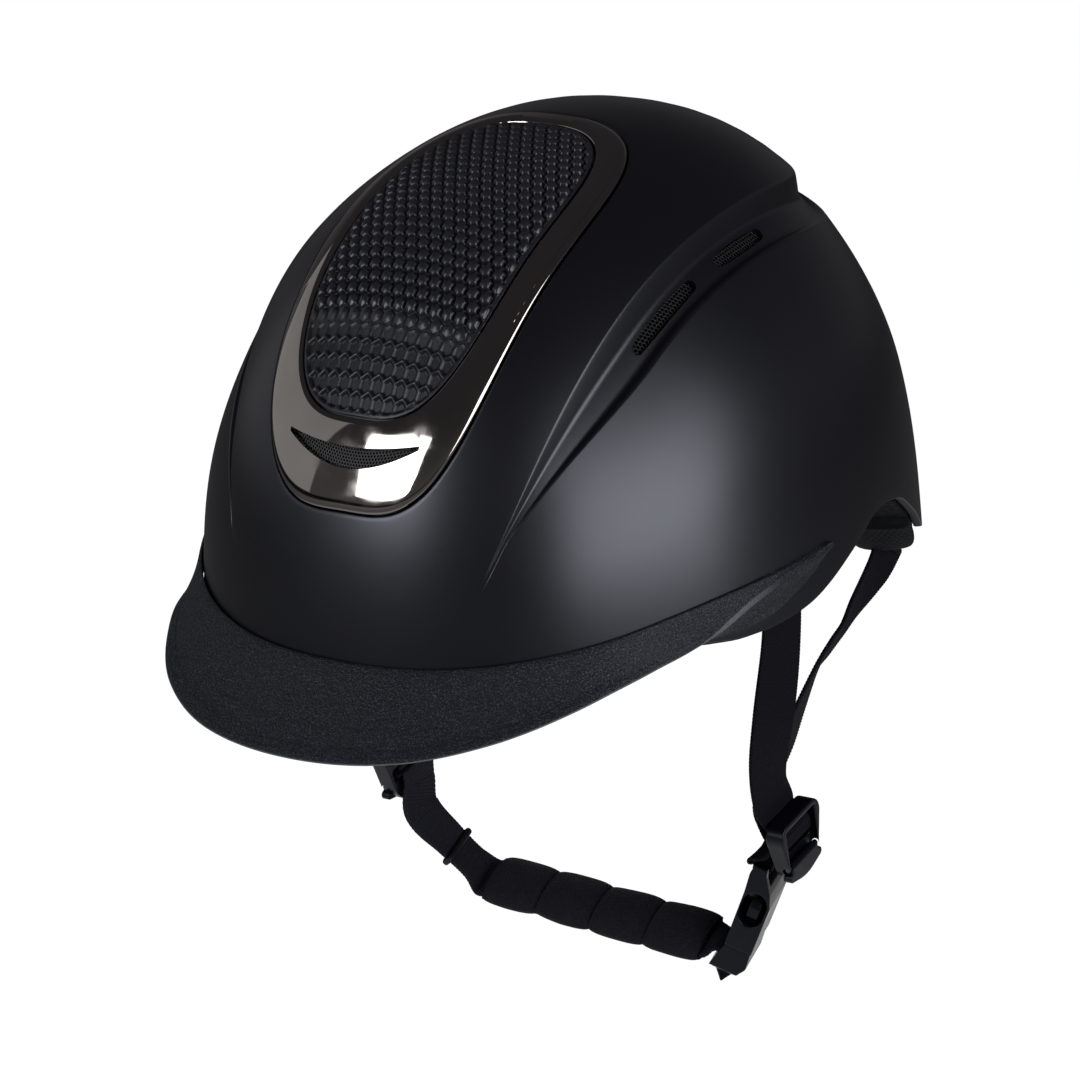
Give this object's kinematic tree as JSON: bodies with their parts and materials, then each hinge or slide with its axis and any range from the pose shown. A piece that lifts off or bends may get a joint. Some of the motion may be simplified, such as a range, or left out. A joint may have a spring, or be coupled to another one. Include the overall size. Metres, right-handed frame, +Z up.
{
  "type": "riding helmet",
  "caption": "Riding helmet with a peak that sweeps back along both sides, an open honeycomb front panel in a bright trim, vented side channels, pads, a fit dial and a buckled chin harness.",
  "frame": {"origin": "middle of the head opening, on the plane of symmetry", "axes": "+Z up towards the crown, -Y towards the front, +X towards the wearer's left; the shell leans forward by 13.5 degrees"},
  "size_m": [0.2166, 0.3088, 0.2992],
  "materials": {
    "shell_paint": "soft-touch matt",
    "trim_metal": "dark polished",
    "panel_rubber": "satin moulded",
    "vent_mesh": "fine mesh",
    "peak_texture": "grained",
    "peak_lining": "matt",
    "liner_foam": "moulded foam",
    "pad_fabric": "knitted",
    "nape_mesh": "open mesh",
    "cradle_plastic": "satin",
    "dial_plastic": "satin",
    "pin_metal": "satin",
    "anchor_plastic": "satin",
    "webbing": "ribbed weave",
    "divider_plastic": "satin moulded",
    "buckle_plastic": "satin moulded",
    "chin_fabric": "padded cloth",
    "keeper_rubber": "matt"
  },
  "bodies": {
    "helmet": {"outer_shell": "shell_paint", "trim_frame": "trim_metal", "grille_panel": "panel_rubber", "front_vent_mesh": "vent_mesh", "side_vent_mesh_left": "vent_mesh", "side_vent_mesh_right": "vent_mesh", "rear_vent_mesh": "vent_mesh", "peak": "peak_texture", "peak_lining": "peak_lining", "impact_liner": "liner_foam", "brow_pad": "pad_fabric", "crown_pad": "pad_fabric", "side_pad_left": "pad_fabric", "side_pad_right": "pad_fabric", "nape_pad": "nape_mesh", "fit_band_left": "cradle_plastic", "fit_band_right": "cradle_plastic", "harness_anchors": "anchor_plastic", "front_strap_left": "webbing", "front_strap_right": "webbing", "rear_strap_left": "webbing", "rear_strap_right": "webbing", "divider_left": "divider_plastic", "divider_right": "divider_plastic", "cam_pins": "pin_metal", "buckle_socket": "buckle_plastic"},
    "cradle": {"nape_cradle": "cradle_plastic", "cradle_pad": "pad_fabric", "dial_axle": "pin_metal"},
    "dial": {"fit_dial": "dial_plastic"},
    "lever_left": {"cam_lever_left": "divider_plastic"},
    "lever_right": {"cam_lever_right": "divider_plastic"},
    "chin_assembly": {"buckle_plug": "buckle_plastic", "chin_strap": "webbing", "chin_strap_far": "webbing", "chin_pad": "chin_fabric", "strap_keeper": "keeper_rubber"},
    "latch_front": {"latch_arm_front": "buckle_plastic"},
    "latch_rear": {"latch_arm_rear": "buckle_plastic"}
  },
  "joints": [
    {"name": "buckle_pull", "type": "slide", "parent": "helmet", "child": "chin_assembly", "axis": [-0.3697, 0, -0.9292], "range_m": [0, 0.022], "deforming": ["chin_strap_far"]},
    {"name": "latch_front_flex", "type": "hinge", "parent": "chin_assembly", "child": "latch_front", "pos_m": [0.05899, 0.01269, -0.12644], "axis": [0.8916, 0.2816, -0.3547], "range_deg": [-13, 0]},
    {"name": "latch_rear_flex", "type": "hinge", "parent": "chin_assembly", "child": "latch_rear", "pos_m": [0.05523, 0.02651, -0.12494], "axis": [0.8916, 0.2816, -0.3547], "range_deg": [0, 13]},
    {"name": "lever_left_turn", "type": "hinge", "parent": "helmet", "child": "lever_left", "pos_m": [0.0821, 0.01383, -0.08939], "axis": [0, -0.9659, -0.2588], "range_deg": [0, 70]},
    {"name": "lever_right_turn", "type": "hinge", "parent": "helmet", "child": "lever_right", "pos_m": [-0.0821, 0.01383, -0.08939], "axis": [0, 0.9659, 0.2588], "range_deg": [0, 70]},
    {"name": "cradle_slide", "type": "slide", "parent": "helmet", "child": "cradle", "axis": [0, -1, 0], "range_m": [0, 0.008]},
    {"name": "fit_dial_turn", "type": "hinge", "parent": "cradle", "child": "dial", "pos_m": [0, 0.1024, -0.012], "axis": [0, 1, 0], "range_deg": [0, 300]}
  ],
  "couplings": [
    {"joint": "latch_front_flex", "follows": "buckle_pull", "rad_per_m": -10},
    {"joint": "latch_rear_flex", "follows": "buckle_pull", "rad_per_m": 10},
    {"joint": "fit_dial_turn", "follows": "cradle_slide", "rad_per_m": 650}
  ]
}
